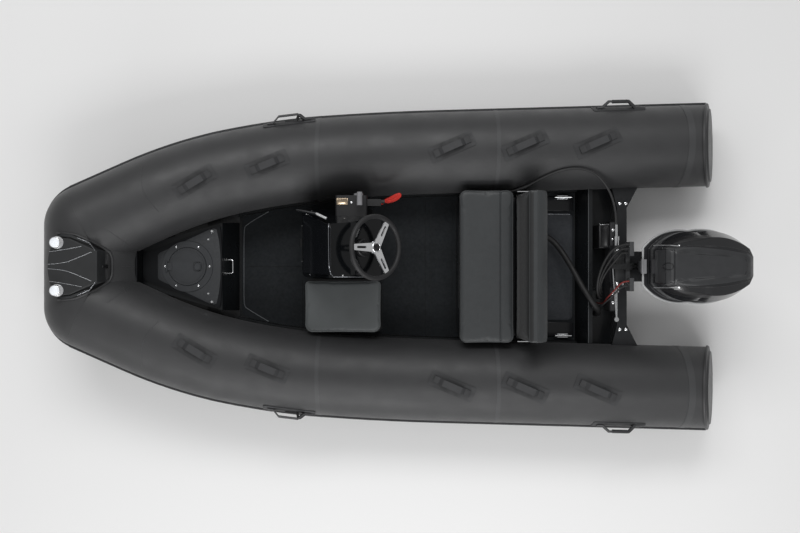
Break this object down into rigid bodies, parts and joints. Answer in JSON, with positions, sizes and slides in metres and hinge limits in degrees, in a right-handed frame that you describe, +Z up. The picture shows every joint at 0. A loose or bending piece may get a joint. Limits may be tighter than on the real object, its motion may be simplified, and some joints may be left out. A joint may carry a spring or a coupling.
{
  "type": "inflatable rib boat",
  "caption": "Rigid-hulled inflatable boat with console, side seat, helm bench and a tilting, steering outboard motor",
  "frame": {"origin": "amidships on the centre line at the waterline", "axes": "+X to the bow, +Y to port, +Z up"},
  "size_m": [3.9643, 1.944, 1.5742],
  "materials": {
    "tube_fabric": "dark grey coated fabric, faint weave, satin",
    "strake_rubber": "ribbed black rubber, matt",
    "handle_rubber": "moulded black rubber, matt",
    "hull_gelcoat": "black gelcoat, glossy",
    "liner_gelcoat": "dark grey gelcoat, semi-gloss",
    "trim_aluminium": "satin plate",
    "pad_plastic": "black moulded pad, matt",
    "deck_composite": "textured anti-slip deck, charcoal",
    "hatch_plastic": "black moulded plastic",
    "step_rubber": "moulded rubber, satin",
    "console_gelcoat": "black gelcoat, high gloss",
    "smoked_glass": "smoked acrylic",
    "wheel_rubber": "soft black grip",
    "bright_steel": "polished stainless steel",
    "control_plastic": "black plastic",
    "lever_plastic": "grey grip, satin",
    "seat_vinyl": "charcoal vinyl upholstery",
    "bench_vinyl": "charcoal vinyl upholstery, grained",
    "floor_mat": "black foam mat, brushed",
    "motor_paint": "dark grey paint, satin",
    "cowl_paint": "dark metallic grey, glossy",
    "brushed_tube": "stainless steel",
    "clip_plastic": "grey plastic",
    "propeller_paint": "black paint",
    "cable_rubber": "black jacket, satin",
    "hose_plastic": "black hose, satin",
    "cable_red": "red jacket, satin",
    "lanyard_red": "red coiled cord"
  },
  "bodies": {
    "boat": {"tubes": "tube_fabric", "tube_end_caps": "tube_fabric", "rub_strake": "strake_rubber", "grab_handles": "handle_rubber", "carry_handles": "handle_rubber", "hull": "hull_gelcoat", "deck_liner": "liner_gelcoat", "engine_well": "liner_gelcoat", "transom": "hull_gelcoat", "transom_trim": "trim_aluminium", "motor_pad": "pad_plastic", "bow_locker": "liner_gelcoat", "bow_deck": "deck_composite", "hatch_ring": "hatch_plastic", "bow_step": "step_rubber", "step_rim": "step_rubber", "console": "console_gelcoat", "windscreen": "smoked_glass", "dash_controls": "control_plastic", "control_box": "control_plastic", "throttle_lever": "lever_plastic", "side_seat_box": "console_gelcoat", "bench_base": "console_gelcoat", "bench_back": "bench_vinyl", "floor_mats": "floor_mat", "bright_fittings": "bright_steel", "towing_eyes": "bright_steel", "clamp_bracket": "motor_paint", "tilt_tube": "brushed_tube", "rigging_gland": "step_rubber", "steering_cable": "cable_rubber", "engine_conduit": "cable_rubber", "rigging_hose_upper": "hose_plastic", "rigging_hose_middle": "hose_plastic", "rigging_hose_lower": "hose_plastic", "battery_cable_red": "cable_red", "battery_cable_black": "cable_rubber", "stop_lanyard": "lanyard_red"},
    "hatch": {"hatch_lid": "hatch_plastic"},
    "seat_cover": {"side_seat_lid": "console_gelcoat", "side_seat_pad": "seat_vinyl"},
    "bench_cover": {"bench_lid": "console_gelcoat", "bench_cushion": "bench_vinyl"},
    "door": {"console_door": "console_gelcoat"},
    "wheel": {"wheel_rim": "wheel_rubber", "wheel_spokes": "bright_steel"},
    "swivel": {"swivel_bracket": "motor_paint", "hose_clamps": "clip_plastic"},
    "rod": {"steering_rod": "brushed_tube"},
    "motor": {"steering_arm": "brushed_tube", "motor_leg": "motor_paint", "gear_case": "motor_paint", "cowl_pan": "cowl_paint", "cowl_top": "cowl_paint"},
    "link": {"drag_link": "brushed_tube"},
    "screw": {"propeller": "propeller_paint"}
  },
  "joints": [
    {"name": "hatch_hinge", "type": "hinge", "parent": "boat", "child": "hatch", "pos_m": [1.36, 0, 0.373], "axis": [0, 1, 0], "range_deg": [0, 100]},
    {"name": "seat_cover_hinge", "type": "hinge", "parent": "boat", "child": "seat_cover", "pos_m": [0.5533, 0.228, 0.3555], "axis": [0, 1, 0], "range_deg": [0, 90]},
    {"name": "bench_cover_hinge", "type": "hinge", "parent": "boat", "child": "bench_cover", "pos_m": [-0.3407, 0, 0.3875], "axis": [0, 1, 0], "range_deg": [0, 90]},
    {"name": "door_hinge", "type": "hinge", "parent": "boat", "child": "door", "pos_m": [0.5665, -0.134, 0.152], "axis": [0, 1, 0], "range_deg": [0, 88]},
    {"name": "wheel_turn", "type": "hinge", "parent": "boat", "child": "wheel", "pos_m": [0.1264, -0.1, 0.8307], "axis": [-0.6691, 0, 0.7431], "range_deg": [-600, 600]},
    {"name": "motor_tilt", "type": "hinge", "parent": "boat", "child": "swivel", "pos_m": [-1.255, 0, 0.38], "axis": [0, 1, 0], "range_deg": [0, 65], "deforming": ["rigging_hose_upper", "rigging_hose_middle", "rigging_hose_lower", "battery_cable_red", "battery_cable_black"]},
    {"name": "rod_slide", "type": "slide", "parent": "swivel", "child": "rod", "axis": [0, 1, 0], "range_m": [-0.118, 0.118]},
    {"name": "motor_steer", "type": "hinge", "parent": "swivel", "child": "motor", "pos_m": [-1.46, 0, 0.2], "axis": [0, 0, 1], "range_deg": [-30, 30]},
    {"name": "link_pivot", "type": "hinge", "parent": "motor", "child": "link", "pos_m": [-1.225, 0, 0.419], "axis": [0, 0, 1], "range_deg": [-31, 31]},
    {"name": "propeller_spin", "type": "hinge", "parent": "motor", "child": "screw", "pos_m": [-1.9, 0, -0.42], "axis": [1, 0, 0], "continuous": true}
  ],
  "couplings": [
    {"joint": "wheel_turn", "follows": "motor_steer", "ratio": -20},
    {"joint": "rod_slide", "follows": "motor_steer", "m_per_rad": 0.2244},
    {"joint": "link_pivot", "follows": "motor_steer", "ratio": -1}
  ]
}
